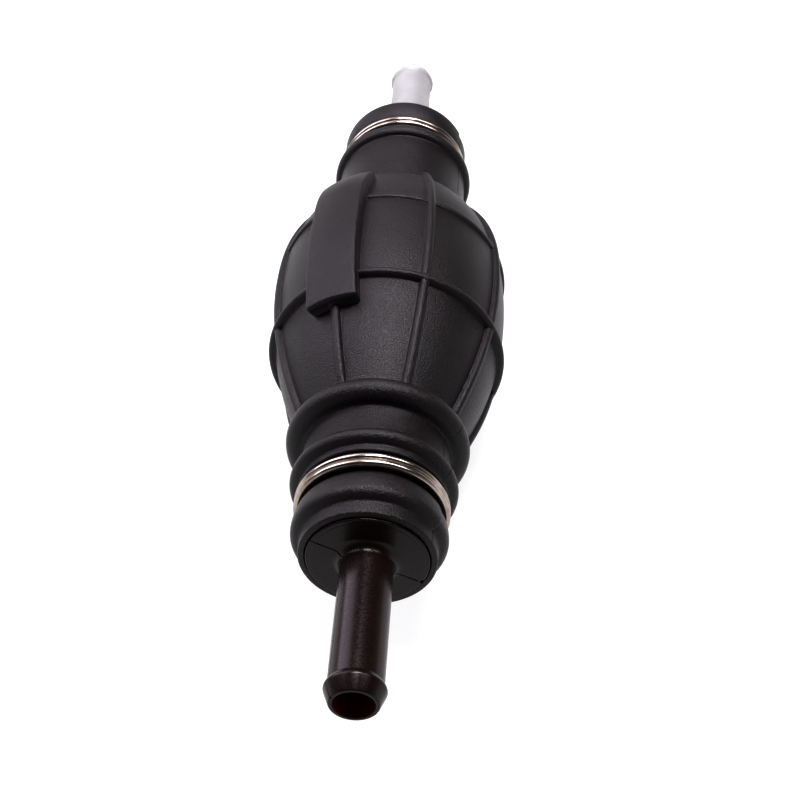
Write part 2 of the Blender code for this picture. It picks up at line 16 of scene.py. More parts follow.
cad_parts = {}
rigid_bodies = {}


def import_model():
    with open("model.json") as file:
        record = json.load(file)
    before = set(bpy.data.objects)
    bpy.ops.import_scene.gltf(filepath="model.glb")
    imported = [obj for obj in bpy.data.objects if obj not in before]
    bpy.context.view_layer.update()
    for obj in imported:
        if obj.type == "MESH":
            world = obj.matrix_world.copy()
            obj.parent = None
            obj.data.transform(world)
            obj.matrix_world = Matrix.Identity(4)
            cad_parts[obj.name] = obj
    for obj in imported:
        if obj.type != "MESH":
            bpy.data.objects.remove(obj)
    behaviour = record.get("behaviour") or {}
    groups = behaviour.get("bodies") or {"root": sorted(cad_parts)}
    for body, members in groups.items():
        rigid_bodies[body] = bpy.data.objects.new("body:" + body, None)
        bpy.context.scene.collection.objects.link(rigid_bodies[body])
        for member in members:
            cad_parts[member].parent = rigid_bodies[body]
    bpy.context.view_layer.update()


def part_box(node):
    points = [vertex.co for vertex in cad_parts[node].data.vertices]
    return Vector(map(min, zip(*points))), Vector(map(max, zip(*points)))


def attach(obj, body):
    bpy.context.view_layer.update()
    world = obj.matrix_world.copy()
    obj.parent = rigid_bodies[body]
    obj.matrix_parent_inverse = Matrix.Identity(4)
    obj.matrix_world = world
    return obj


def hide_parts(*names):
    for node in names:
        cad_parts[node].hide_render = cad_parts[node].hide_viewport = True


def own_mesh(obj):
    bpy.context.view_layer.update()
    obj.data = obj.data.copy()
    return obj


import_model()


# ---------------------------------------------------------------------------------------------------
# Studio
# The pump lies on an opal light table under four soft boxes. The camera stands over the inlet end and
# looks down along the pump, rolled a few degrees so that the raised pad leans to the left.

MM = 0.001

LENS = 64.8  # mm, on the default 36 mm sensor
CAMERA_AZIMUTH = 3.19
CAMERA_ELEVATION = 43.40
CAMERA_DISTANCE = 244.7
CAMERA_RIGHT = 2.35  # the view's middle, sideways from the hoop nearer the inlet
CAMERA_UP = -6.75
PUMP_ROLL = 3.0
MID_HOOP_Y = -10.95
FLOOR_SIZE = 4.0  # this and the floor's two radii are in metres
POOL = 0.20
POOL_END = 0.55
POOL_GLOW = 0.84
FLOOR_GLOW = 0.48
HORIZON_GLOW = 0.55
SKY_GLOW = 0.08
HORIZON_HEIGHT = 0.12  # heights on a unit sphere, between which the room's glow falls off
SKY_HEIGHT = 0.38
SOFT_BOX_AIM = (0.0, -0.02, 0.02)
SOFT_BOXES = (
    # name, place and size in metres, watts, colour
    ("top_box", (0.10, 0.14, 0.85), (0.34, 0.44), 13.0, "#fbf7ff"),
    ("left_box", (-0.60, 0.27, 0.55), (0.62, 0.92), 9.3, "#f7f2ff"),
    ("right_box", (0.49, 0.07, 0.71), (0.35, 0.35), 3.1, "#fbf7ff"),
    ("back_box", (-0.15, 0.81, 0.47), (0.70, 0.50), 2.0, "#f7f2ff"),
)
DISPLAY_GAMMA = 0.70


def box_of(node):
    """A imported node's lowest and highest corners, in millimetres."""
    low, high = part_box(node)
    return low / MM, high / MM


nozzle_low, nozzle_high = box_of("inlet_connector")
AXIS_Z = (nozzle_low.z + nozzle_high.z) / 2
AXIS = Vector((0.0, 0.0, AXIS_Z * MM))


def linear(hex_colour):
    """An sRGB hex colour as linear red, green, blue and alpha."""
    values = [int(hex_colour[i : i + 2], 16) / 255 for i in (1, 3, 5)]
    return (*[v / 12.92 if v <= 0.04045 else ((v + 0.055) / 1.055) ** 2.4 for v in values], 1.0)


def add(tree, kind, inputs=None, **settings):
    """Adds a node with its settings, and its inputs as values or as sockets to link."""
    made = tree.nodes.new(kind)
    for name, value in settings.items():
        setattr(made, name, value)
    for name, value in (inputs or {}).items():
        if isinstance(value, bpy.types.NodeSocket):
            tree.links.new(value, made.inputs[name])
        else:
            made.inputs[name].default_value = value
    return made


def place_camera():
    azimuth, elevation = math.radians(CAMERA_AZIMUTH), math.radians(CAMERA_ELEVATION)
    look = Vector((-math.sin(azimuth), math.cos(azimuth), 0)) * math.cos(elevation)
    look.z = -math.sin(elevation)
    right = Vector((math.cos(azimuth), math.sin(azimuth), 0))
    up = right.cross(look)
    aim = Vector((0, MID_HOOP_Y, 0)) + right * CAMERA_RIGHT + up * CAMERA_UP
    place = (aim - look * CAMERA_DISTANCE) * MM
    turn = Matrix((right, up, -look)).transposed().to_4x4()
    camera = bpy.data.objects.new("camera", bpy.data.cameras.new("camera"))
    bpy.context.scene.collection.objects.link(camera)
    camera.data.lens = LENS
    roll = Matrix.Rotation(math.radians(PUMP_ROLL), 4, "Y")
    camera.matrix_world = Matrix.Translation(AXIS) @ roll @ Matrix.Translation(place) @ turn
    bpy.context.scene.camera = camera


def soft_box(name, place, size, watts, colour):
    """A rectangular lamp turned to face the pump."""
    lamp = bpy.data.lights.new(name, "AREA")
    lamp.shape = "RECTANGLE"
    lamp.size, lamp.size_y = size
    lamp.energy = watts
    lamp.color = linear(colour)[:3]
    thing = bpy.data.objects.new(name, lamp)
    bpy.context.scene.collection.objects.link(thing)
    thing.location = place
    thing.rotation_euler = (Vector(SOFT_BOX_AIM) - Vector(place)).to_track_quat("-Z", "Y").to_euler()


def lay_light_table():
    """An opal light table: it glows in a pool round the pump, so that no shadow shows on it."""
    bpy.ops.mesh.primitive_grid_add(x_subdivisions=4, y_subdivisions=4, size=FLOOR_SIZE)
    floor = bpy.context.active_object
    floor.name = "floor"
    opal = bpy.data.materials.new("opal_acrylic")
    opal.use_nodes = True
    tree = opal.node_tree
    shader = tree.nodes["Principled BSDF"]
    shader.inputs["Base Color"].default_value = linear("#7c7c7c")
    shader.inputs["Roughness"].default_value = 0.9
    shader.inputs["Emission Color"].default_value = linear("#ffffff")
    place = add(tree, "ShaderNodeTexCoord").outputs["Object"]
    reach = add(tree, "ShaderNodeVectorMath", {0: place}, operation="LENGTH")
    pool = add(tree, "ShaderNodeMapRange", {"Value": reach.outputs["Value"], "From Min": POOL})
    pool.inputs["From Max"].default_value = POOL_END
    pool.inputs["To Min"].default_value = POOL_GLOW
    pool.inputs["To Max"].default_value = FLOOR_GLOW
    tree.links.new(pool.outputs["Result"], shader.inputs["Emission Strength"])
    floor.data.materials.append(opal)


def light_studio():
    """A dim room that is paler towards the horizon, and the soft boxes."""
    world = bpy.data.worlds.new("studio")
    bpy.context.scene.world = world
    world.use_nodes = True
    tree = world.node_tree
    room = tree.nodes["Background"]
    room.inputs["Color"].default_value = linear("#ffffff")
    towards = add(tree, "ShaderNodeTexCoord").outputs["Generated"]
    height = add(tree, "ShaderNodeSeparateXYZ", {"Vector": towards}).outputs["Z"]
    fall = add(tree, "ShaderNodeMapRange", {"Value": height, "From Min": HORIZON_HEIGHT})
    fall.inputs["From Max"].default_value = SKY_HEIGHT
    fall.inputs["To Min"].default_value = HORIZON_GLOW
    fall.inputs["To Max"].default_value = SKY_GLOW
    tree.links.new(fall.outputs["Result"], room.inputs["Strength"])
    for lamp in SOFT_BOXES:
        soft_box(*lamp)


place_camera()
lay_light_table()
light_studio()
bpy.context.scene.view_settings.view_transform = "Standard"
bpy.context.scene.view_settings.gamma = DISPLAY_GAMMA


# ---------------------------------------------------------------------------------------------------
# Rubber bulb
# One hollow moulding in black nitrile rubber: two necks that grip the nozzles, a flange, and a body
# with eight long ribs, two hoops and a raised pad like a folded-down lever. It is moulded in two
# halves, so a faint parting line runs down each side.

RUBBER_END = box_of("bulb")[1].y
OUTLET_MOUTH = 53.45  # the rubber ends against the back of the outlet's disc
MOUTH = 9.4
NECK_BORE = 8.6
LOCK_START, LOCK_END = 52.15, 50.15  # groove in the rubber that the cup's ring snaps into
INLET_NECK = 11.7
OUTLET_NECK = 12.0
BELLY = 19.9
HOOP = AXIS_Z
FLANGE_Y = -32.1
BELLY_Y = 0.9
SHOULDER_Y = 26.6
FAR_HOOP_Y = 9.6
WALL = 3.0
COLLAR = 10.45  # lip of rubber round the end disc
BEAD_START = RUBBER_END - 2.5
BEAD_CREST = RUBBER_END - 4.1
BEAD_END = RUBBER_END - 7.85
BEAD = 11.93
BEAD_RISE = 1.45
CLAMP_GROOVE = 10.5
GROOVE_START = 43.7
INNER_BEAD_Y = 41.1
INNER_BEAD = 13.1
INNER_BEAD_HALF = 1.3
INNER_BEAD_FILLET = 0.25
FLANGE = 14.66
FLANGE_HALF = 2.0
FLANGE_FILLET = 0.5

RIB_ANGLES = np.radians(np.arange(-157.5, 180, 45))
PAD_ANGLE = math.radians(-22.5)
PARTING_ANGLE = PAD_ANGLE + math.pi / 2  # and straight across from it
PARTING_HALF = 0.11
PARTING_DEPTH = 0.09
MISMATCH = 0.32  # how far one mould half's beads stand out past the other's
MISMATCH_EDGE = 0.1
MISMATCH_FADE = 0.5  # radians over which that fades out
BEAD_FOOT = 10.6
BEAD_FOOT_RISE = 0.6
RIB_HALF = 0.8
RIB_HEIGHT = 0.9
RIB_FOOT = 1.2  # how far short of the flange's middle the ribs stop, inside it
RIB_FOOT_EDGE = 0.1
MEAN_RELIEF = 0.5
RIB_END_PAST_SHOULDER = 0.7
PAD_HALF = 4.35
PAD_HEIGHT = 2.5
PAD_FAR_HEIGHT = 1.3
PAD_RAMP = 9.0  # how far from its far end the pad reaches its full height
PAD_CROWN = 0.14
PAD_EDGE = 0.75
PAD_CORNER = 0.5
PAD_FAR_Y = 18.3
PAD_NEAR_Y = -16.5
FILLET = 0.3
LIFT_BLEND = 1.3  # along the outline, so that the ribs' direction changes smoothly


def smooth_max(a, b, blend):
    """The larger of two heights, with a fillet where they cross."""
    nearness = np.maximum(blend - np.abs(a - b), 0) / blend
    return np.maximum(a, b) + nearness**2 * blend / 4


def ridge(distance, half_width, height):
    """A round-topped ridge. Beyond its foot the height goes negative, so that fillets stay local."""
    share = np.clip(distance / half_width, 0, 1)
    crown = height * (1 - share**2.4) ** 0.5
    return np.where(distance < half_width, crown, (half_width - distance) * 2)


def skin_radius(y):
    """Radius of the bare body: a parabola towards the flange, a rounder shoulder to the far neck."""
    near = np.clip((BELLY_Y - y) / (BELLY_Y - FLANGE_Y), 0, 1)
    far = (y - BELLY_Y) / (SHOULDER_Y - BELLY_Y)
    near_radius = INLET_NECK + (BELLY - INLET_NECK) * (1 - near**2)
    fall = np.clip(1 - np.clip(far, 0, 1) ** 2.5, 0, 1) ** 0.82
    far_radius = OUTLET_NECK + (BELLY - OUTLET_NECK) * fall - 4 * np.maximum(0, y - SHOULDER_Y)
    return np.where(y <= BELLY_Y, near_radius, far_radius)


def rounded(corners, steps=7):
    """A closed outline through corners (y, radius, rounding), each rounded with an arc."""
    outline = []
    places = [Vector(corner[:2]) for corner in corners]
    for k, (y, radius, rounding) in enumerate(corners):
        if not rounding:
            outline.append((y, radius))
            continue
        back = places[k - 1] - places[k]
        ahead = places[(k + 1) % len(places)] - places[k]
        half = back.angle(ahead) / 2
        reach = min(rounding / math.tan(half), 0.49 * back.length, 0.49 * ahead.length)
        back, ahead = back.normalized(), ahead.normalized()
        centre = places[k] + (back + ahead).normalized() * (reach / math.cos(half))
        start, stop = places[k] + back * reach - centre, places[k] + ahead * reach - centre
        sweep = math.pi - 2 * half
        for i in range(steps + 1):
            turn = sweep * i / steps
            point = centre + (start * math.sin(sweep - turn) + stop * math.sin(turn)) / math.sin(sweep)
            outline.append(tuple(point))
    return outline


def arc(middle, size, start, stop, steps):
    """Points (y, radius) on an ellipse of two half sizes. Angles are in degrees."""
    turns = np.radians(np.linspace(start, stop, steps))
    return [(middle[0] + size[0] * math.cos(t), middle[1] + size[1] * math.sin(t)) for t in turns]


def neck_end(neck, mouth):
    """Outside of either end, from the end face inwards, as (distance from the middle, radius)."""
    collar = rounded([(mouth, MOUTH, 0.1), (mouth, COLLAR, 0.35), (BEAD_START, COLLAR, 0)], 5)[:-1]
    near = (BEAD_CREST, BEAD - BEAD_RISE), (BEAD_CREST - BEAD_START, BEAD_RISE)
    far = (BEAD_CREST, BEAD - BEAD_RISE), (BEAD_CREST - BEAD_END, BEAD_RISE)
    ring = (INNER_BEAD_Y, neck + 0.1), (INNER_BEAD_HALF, INNER_BEAD - neck - 0.1)
    foot, foot_size = INNER_BEAD_HALF + INNER_BEAD_FILLET, (INNER_BEAD_FILLET, INNER_BEAD_FILLET)
    return [
        *collar,
        (BEAD_START + 0.45, COLLAR),
        (BEAD_START + 0.16, COLLAR + 0.03),
        *arc(near[0], (-near[1][0], near[1][1]), 12, 90, 14),
        *arc(far[0], far[1], 95, 174, 14),
        (BEAD_END - 0.2, CLAMP_GROOVE),
        (GROOVE_START, CLAMP_GROOVE),
        *arc((GROOVE_START - 0.35, neck - 0.35), (0.35, 0.35), 0, 90, 6),
        *arc((INNER_BEAD_Y + foot, neck + INNER_BEAD_FILLET), foot_size, 270, 215, 4),
        *arc(*ring, 12, 168, 20),
        *arc((INNER_BEAD_Y - foot, neck + INNER_BEAD_FILLET), foot_size, 325, 270, 4),
    ]


def flange():
    """The round-edged flange, from its body side to its neck side."""
    root = float(skin_radius(np.array(FLANGE_Y + 2.4)))
    foot, foot_size = FLANGE_HALF + FLANGE_FILLET, (FLANGE_FILLET, FLANGE_FILLET)
    return [
        *arc((FLANGE_Y + foot, root + FLANGE_FILLET), foot_size, 270, 185, 6),
        *arc((FLANGE_Y, FLANGE - FLANGE_HALF), (FLANGE_HALF, FLANGE_HALF), 4, 176, 28),
        *arc((FLANGE_Y - foot, INLET_NECK + FLANGE_FILLET), foot_size, 355, 270, 6),
    ]


def resample(low, high, knots, spacing):
    """Even steps from low to high, with extra ones close round each knot, without near doubles."""
    near = np.array([0, 0.03, 0.08, 0.16, 0.28, 0.42, 0.58, 0.7, 0.77, 0.83, 0.9, 1.0, 1.2, 1.45])
    wanted = [np.arange(low, high, spacing)]
    wanted += [np.concatenate([knot - near, knot + near]) for knot in knots]
    values = np.unique(np.concatenate(wanted))
    values = values[(values >= low) & (values <= high)]
    keep = [values[0]]
    for value in values[1:]:
        if value - keep[-1] > 0.025:
            keep.append(value)
    return np.array(keep)


# The body's outline as a function of the distance along it, measured from the far neck
fine_y = np.linspace(SHOULDER_Y + 4, FLANGE_Y + 3, 6000)
fine_r = smooth_max(skin_radius(fine_y), np.full_like(fine_y, OUTLET_NECK), 0.9)
fine_r = np.where(fine_y < BELLY_Y, skin_radius(fine_y), fine_r)
fine_s = np.concatenate([[0], np.cumsum(np.hypot(np.diff(fine_y), np.diff(fine_r)))])


def along(y):
    """Distance along the body's outline at station y."""
    return float(np.interp(-y, -fine_y, fine_s))


def body_rows():
    """Stations down the body: y, radius, distance along, and the direction that ribs rise in."""
    knots = [along(FAR_HOOP_Y), along(MID_HOOP_Y), along(SHOULDER_Y) - RIB_END_PAST_SHOULDER]
    pad_edges = [along(PAD_FAR_Y), along(PAD_NEAR_Y)]
    s = resample(fine_s[0], fine_s[-1], knots + pad_edges, 0.6)
    y, r = np.interp(s, fine_s, fine_y), np.interp(s, fine_s, fine_r)
    out_y, out_r = np.gradient(fine_r, fine_s), -np.gradient(fine_y, fine_s)
    reach = np.linspace(-2.4, 2.4, 17)
    weights = np.exp(-((reach / LIFT_BLEND) ** 2))
    mean_y = sum(w * np.interp(s + d, fine_s, out_y) for w, d in zip(weights, reach))
    mean_r = sum(w * np.interp(s + d, fine_s, out_r) for w, d in zip(weights, reach))
    size = np.hypot(mean_y, mean_r)
    return y, r, s, mean_y / size, mean_r / size


def columns(lines, radius, spacing):
    """Columns round the pump, each an angle plus a sideways distance in mm, so that they keep to the
    edges along each line at any radius: a column's angle is turn + shift / radius."""
    stops = [(turn, x) for turn, offsets in sorted(lines) for x in offsets]
    ends = stops[1:] + [(stops[0][0] + 2 * math.pi, stops[0][1])]
    turn, shift = [], []
    for (a, x), (b, z) in zip(stops, ends):
        count = max(1, round(((b - a) * radius + z - x) / spacing))
        turn += [a + (b - a) * i / count for i in range(count)]
        shift += [x + (z - x) * i / count for i in range(count)]
    return np.array(turn), np.array(shift)


def bulb_columns():
    """Columns along each rib's top and edges, and along the pad's edges."""
    rib = [0.07, 0.14, 0.28, 0.42, 0.56, 0.66, 0.73, 0.78, 0.82, 0.88, 1.0, 1.2, 1.45]
    edge = [-0.75, -0.5, -0.32, -0.2, -0.12, -0.07, -0.035, -0.012, 0.0, 0.03, 0.1, 0.25, 0.5]
    lines = []
    for angle in RIB_ANGLES:
        half = rib + [PAD_HALF + e for e in edge] if abs(angle - PAD_ANGLE) < 0.01 else rib
        lines.append((angle, [-x for x in half[::-1]] + [0.0] + half))
    return columns(lines, BELLY, 0.75)


def pad_height(sideways, s):
    """The raised pad: steep sides, rounded edges, a slight crown, lower where it meets the neck."""
    far, near = along(PAD_FAR_Y), along(PAD_NEAR_Y)
    over_x = np.abs(sideways) - (PAD_HALF - PAD_CORNER)
    over_s = np.abs(s - (far + near) / 2) - ((near - far) / 2 - PAD_CORNER)
    outside = np.hypot(np.maximum(over_x, 0), np.maximum(over_s, 0))
    inset = PAD_CORNER - outside - np.minimum(np.maximum(over_x, over_s), 0)
    rise = (1 - (1 - np.clip(inset / PAD_EDGE, 0, 1)) ** 4) ** 0.25
    ramp = np.clip((s - far) / PAD_RAMP, 0, 1)
    height = PAD_FAR_HEIGHT + (PAD_HEIGHT - PAD_FAR_HEIGHT) * ramp * (2 - ramp)
    crown = PAD_CROWN * (sideways / PAD_HALF) ** 2
    return np.where(inset > 0, rise * (height - crown), inset * 3)


def from_rib(angle):
    """The angle to the nearest rib."""
    return np.abs((angle[..., None] - RIB_ANGLES + math.pi) % (2 * math.pi) - math.pi).min(axis=-1)


def body_relief(angle, radius, s):
    """Height of ribs, hoops and pad above the bare body."""
    sideways = from_rib(angle) * radius
    rib_end = along(SHOULDER_Y) - RIB_END_PAST_SHOULDER + RIB_HALF
    past_end = np.maximum(0, rib_end - s)
    ribs = ridge(np.hypot(sideways, past_end), RIB_HALF, RIB_HEIGHT)
    hoops = np.full_like(ribs, -9.0)
    for hoop_y in (FAR_HOOP_Y, MID_HOOP_Y):
        height = HOOP - float(skin_radius(np.array(hoop_y)))
        hoops = np.maximum(hoops, ridge(np.abs(s - along(hoop_y)), RIB_HALF, height))
    from_pad = np.abs((angle - PAD_ANGLE + math.pi) % (2 * math.pi) - math.pi)
    pad = pad_height(from_pad * radius, s)
    relief = smooth_max(smooth_max(ribs, hoops, FILLET), pad, FILLET)
    return smooth_max(relief, np.zeros_like(relief), FILLET / 2)


def cavity():
    """The hollow, from the inlet end back to the outlet end, an even wall inside the body."""
    pocket = [(53.2, MOUTH), (53.2, NECK_BORE), (52.45, NECK_BORE)]
    lock = [(LOCK_START, 9.3), (LOCK_END, 9.3), (LOCK_END - 0.3, NECK_BORE)]
    end = pocket + lock + [(44.0, NECK_BORE), (38.0, NECK_BORE)]
    y = np.linspace(SHOULDER_Y - WALL, FLANGE_Y + WALL, 60)
    chamber = [(a, float(r) - WALL) for a, r in zip(y, skin_radius(y))]
    chamber = [(a, max(NECK_BORE, r)) for a, r in chamber]
    return [(-a, r) for a, r in end] + chamber[::-1] + end[::-1]


def wrap_grid(name, points, closed_rows):
    """A mesh through rows of points, each a ring about the pump. The rows close up on each other, or
    the first and last are closed by a point on the axis."""
    rows, columns, _ = points.shape
    corners = (points.reshape(-1, 3) * MM).tolist()
    index = np.arange(rows * columns).reshape(rows, columns)
    here, beside = index, np.roll(index, -1, axis=1)
    below, below_beside = np.roll(here, -1, axis=0), np.roll(beside, -1, axis=0)
    last = rows if closed_rows else rows - 1
    faces = np.stack([here, below, below_beside, beside], -1)[:last].reshape(-1, 4).tolist()
    if not closed_rows:
        for row, order in ((0, 1), (rows - 1, -1)):
            corners.append((points[row].mean(axis=0) * MM).tolist())
            pole = len(corners) - 1
            ring = list(zip(index[row].tolist(), np.roll(index[row], -1).tolist()))
            faces += [(pole, a, b) if order == 1 else (pole, b, a) for a, b in ring]
    mesh = bpy.data.meshes.new(name)
    mesh.from_pydata(corners, [], faces)
    mesh.shade_smooth()
    thing = bpy.data.objects.new(name, mesh)
    bpy.context.scene.collection.objects.link(thing)
    return thing


def rings(y, radius, angle):
    """Points about the pump's axis. Angle 0 is up, and it grows towards +X."""
    x = radius * np.sin(angle)
    z = AXIS_Z + radius * np.cos(angle)
    return np.stack([x, np.broadcast_to(y, x.shape), z], -1)


def make_bulb():
    body_y, body_r, body_s, lift_y, lift_r = body_rows()
    outlet_end = np.array(neck_end(OUTLET_NECK, OUTLET_MOUTH))
    inlet_end = np.array(neck_end(INLET_NECK, RUBBER_END))[::-1] * (-1, 1)
    neck_y = np.arange(outlet_end[-1, 0] - 1.5, body_y[0], -1.5)
    neck = np.stack([neck_y, np.full_like(neck_y, OUTLET_NECK)], -1)
    before, after = np.vstack([outlet_end, neck]), np.vstack([flange(), inlet_end])
    inner = np.array(cavity())
    turn, shift = bulb_columns()

    def neck_rows(stations):
        """Rings with the parting line, the beads' slight mismatch across it, and the ribs' feet."""
        radius = stations[:, 1:]
        angle = turn + shift / np.maximum(radius, COLLAR)
        past = (angle - PARTING_ANGLE + math.pi) % (2 * math.pi) - math.pi
        sideways = np.sin(angle - PARTING_ANGLE) * radius
        groove = PARTING_DEPTH * np.exp(-((sideways / PARTING_HALF) ** 2))
        step = np.clip(past * radius / MISMATCH_EDGE, 0, 1) * np.clip(1 - past / MISMATCH_FADE, 0, 1) ** 2
        bead = np.clip((radius - BEAD_FOOT) / BEAD_FOOT_RISE, 0, 1) * (np.abs(stations[:, :1]) > BEAD_END)
        radius = radius - groove - MISMATCH * step * bead
        ribbed = np.clip((stations[:, :1] - FLANGE_Y - RIB_FOOT) / RIB_FOOT_EDGE, 0, 1)
        ribbed = ribbed * (stations[:, :1] < 0)
        rib_top = skin_radius(stations[:, :1]) + ridge(from_rib(angle) * radius, RIB_HALF, RIB_HEIGHT)
        return rings(stations[:, :1], np.maximum(radius, rib_top * ribbed), angle)

    radius = body_r[:, None] + MEAN_RELIEF
    angle = turn + shift / radius
    relief = body_relief(angle, radius, body_s[:, None])
    raised_y = body_y[:, None] + relief * lift_y[:, None]
    raised_r = body_r[:, None] + relief * lift_r[:, None]
    body = rings(raised_y, raised_r, angle)
    inner_angle = np.broadcast_to(turn + shift / COLLAR, (len(inner), len(turn)))
    inside = rings(inner[:, :1], inner[:, 1:], inner_angle)
    points = np.concatenate([neck_rows(before), body, neck_rows(after), inside])
    return wrap_grid("rubber_bulb", points, True)


RUBBER_GRAIN = 0.22  # coarser than the real grain, so that it shows
DUST_CELL = 2.2
DUST_RADIUS = 0.035  # as a share of a cell
DUST_SHARE = 0.30  # how many of the cells hold a speck


def nitrile_rubber(name, roughness, grain_height, dusty):
    """Nitrile rubber as it leaves a blasted mould: near black, satin, with a fine grain that sparkles
    where the light catches it and, where it has been handled, a few specks of pale dust."""
    made = bpy.data.materials.new(name)
    made.use_nodes = True
    tree = made.node_tree
    shader = tree.nodes["Principled BSDF"]
    shader.inputs["IOR"].default_value = 1.42
    shader.inputs["Sheen Weight"].default_value = 0.05
    shader.inputs["Sheen Roughness"].default_value = 0.3
    place = add(tree, "ShaderNodeTexCoord").outputs["Object"]
    bloom = add(tree, "ShaderNodeTexNoise", {"Vector": place, "Scale": 1 / (6 * MM), "Detail": 3.0})
    tone = add(tree, "ShaderNodeValToRGB", {"Fac": bloom.outputs["Fac"]})
    tone.color_ramp.elements[0].position, tone.color_ramp.elements[1].position = 0.3, 0.7
    tone.color_ramp.elements[0].color = linear("#110b0b")
    tone.color_ramp.elements[1].color = linear("#161010")
    colour = tone.outputs["Color"]
    if dusty:
        cells = add(tree, "ShaderNodeTexVoronoi", {"Vector": place, "Scale": 1 / (DUST_CELL * MM)})
        centre = {0: cells.outputs["Distance"], 1: DUST_RADIUS}
        near = add(tree, "ShaderNodeMath", centre, operation="LESS_THAN").outputs[0]
        chance = add(tree, "ShaderNodeSeparateColor", {"Color": cells.outputs["Color"]}).outputs["Red"]
        rare = add(tree, "ShaderNodeMath", {0: chance, 1: DUST_SHARE}, operation="LESS_THAN").outputs[0]
        speck = add(tree, "ShaderNodeMath", {0: near, 1: rare}, operation="MULTIPLY").outputs[0]
        dust = add(tree, "ShaderNodeMix", {"Factor": speck}, data_type="RGBA")
        tree.links.new(colour, dust.inputs["A"])
        dust.inputs["B"].default_value = linear("#77757a")
        colour = dust.outputs["Result"]
    tree.links.new(colour, shader.inputs["Base Color"])
    noise = {"Vector": place, "Scale": 1 / (RUBBER_GRAIN * MM), "Detail": 2.0}
    grain = add(tree, "ShaderNodeTexNoise", noise).outputs["Fac"]
    wear = add(tree, "ShaderNodeMapRange", {"Value": grain, "From Min": 0.3, "From Max": 0.7})
    wear.inputs["To Min"].default_value = roughness - 0.07
    wear.inputs["To Max"].default_value = roughness + 0.07
    tree.links.new(wear.outputs["Result"], shader.inputs["Roughness"])
    bump = add(tree, "ShaderNodeBump", {"Height": grain, "Strength": 0.8, "Distance": grain_height * MM})
    tree.links.new(bump.outputs["Normal"], shader.inputs["Normal"])
    return made


bulb = make_bulb()
bulb.data.materials.append(nitrile_rubber("nitrile_rubber", 0.39, 0.16, True))
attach(bulb, "pump")
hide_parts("bulb")


# ---------------------------------------------------------------------------------------------------
# Hose nozzles
# Two alike mouldings in nylon, black for the inlet and natural white for the outlet: a hose nozzle, an
# end disc, and behind it a cup that plugs the bulb's neck. Each mould closed along a line that still
# shows across the disc and down the stem.

TIP = box_of("outlet_connector")[1].y
BARB_CREST = TIP - 2.45
BARB_FOOT = TIP - 3.35
DISC_FACE = 55.5
DISC_BACK = 53.5
DISC = 9.3
STEM = 4.0
BORE = 3.0
BARB = 4.5
BASE_FILLET = 1.5
CUP_MOUTH = 36.0
CUP_FLOOR = 52.5
CUP = 8.3
CUP_BORE = 6.6
LOCK_RING = 9.0
SNAP_START, SNAP_END = 37.0, 39.6  # groove inside the cup's mouth, which holds the cage or the seat
SNAP = 7.1
SEAT_LIP = 4.4
SEAT_RISE = 0.8
SEAM_ANGLE = math.radians(120)  # and straight across from it
SEAM_HALF = 0.09
SEAM_DEPTH = 0.11
NOTCH_HALF = 0.5
NOTCH_DEPTH = 0.4


def connector_outline():
    """The turned shape, from the tip inwards on the outside and back through the bore."""
    return rounded([
        (TIP, BORE, 0.15),
        (TIP, 3.55, 0.35),
        (BARB_CREST, BARB + 0.02, 0.6),
        (BARB_FOOT, STEM, 0.2),
        (DISC_FACE + 4.0, STEM, 0),
        (DISC_FACE, STEM, BASE_FILLET),
        (DISC_FACE, DISC - 0.75, 0.03),
        (DISC_FACE - 0.05, DISC - 0.7, 0.03),
        (DISC_FACE - 0.05, DISC, 0.28),
        (DISC_BACK, DISC, 0.1),
        (DISC_BACK, CUP, 0.1),
        (LOCK_START, CUP, 0.1),
        (LOCK_START - 0.65, LOCK_RING, 0.15),
        (LOCK_END + 0.65, LOCK_RING, 0.15),
        (LOCK_END, CUP, 0.1),
        (CUP_MOUTH, CUP, 0.3),
        (CUP_MOUTH, CUP_BORE, 0.3),
        (SNAP_START, CUP_BORE, 0.05),
        (SNAP_START, SNAP, 0.05),
        (SNAP_END, SNAP, 0.05),
        (SNAP_END, CUP_BORE, 0.05),
        (CUP_FLOOR, CUP_BORE, 0.4),
        (CUP_FLOOR, SEAT_LIP, 0.1),
        (CUP_FLOOR - SEAT_RISE, SEAT_LIP, 0.1),
        (CUP_FLOOR - SEAT_RISE, BORE, 0.1),
    ], 8)


def make_connector(name, end):
    """Turned, then marked along the mould's parting line. End is -1 at the inlet, 1 at the outlet."""
    outline = np.array(connector_outline())[::end] * (end, 1)
    ahead, behind = np.roll(outline, -1, axis=0), np.roll(outline, 1, axis=0)
    run = ahead - behind
    run /= np.linalg.norm(run, axis=1)[:, None]
    out_y, out_r = run[:, 1:], -run[:, :1]
    offsets = [0.05, 0.1, 0.15, 0.2, 0.3, 0.45, 0.55, 0.7]
    line = [-x for x in offsets[::-1]] + [0.0] + offsets
    turn, shift = columns([(SEAM_ANGLE - math.pi, line), (SEAM_ANGLE, line)], DISC, 0.6)
    y, radius = outline[:, :1], outline[:, 1:]
    angle = turn + shift / np.maximum(radius, BORE)
    sideways = np.sin(angle - SEAM_ANGLE) * radius
    outside = (np.abs(y) > DISC_BACK) & (radius > BORE + 0.3)
    groove = SEAM_DEPTH * np.exp(-((sideways / SEAM_HALF) ** 2)) * outside
    facing = np.cos(angle - SEAM_ANGLE) > 0
    edge = np.clip((radius - DISC + 0.5) / 0.4, 0, 1) * outside * facing
    notch = NOTCH_DEPTH * edge * np.clip(1 - (sideways / NOTCH_HALF) ** 4, 0, 1)
    return wrap_grid(name, rings(y - groove * out_y, radius - groove * out_r - notch, angle), True)


PEBBLE = 0.35  # coarser than the real one, so that it shows


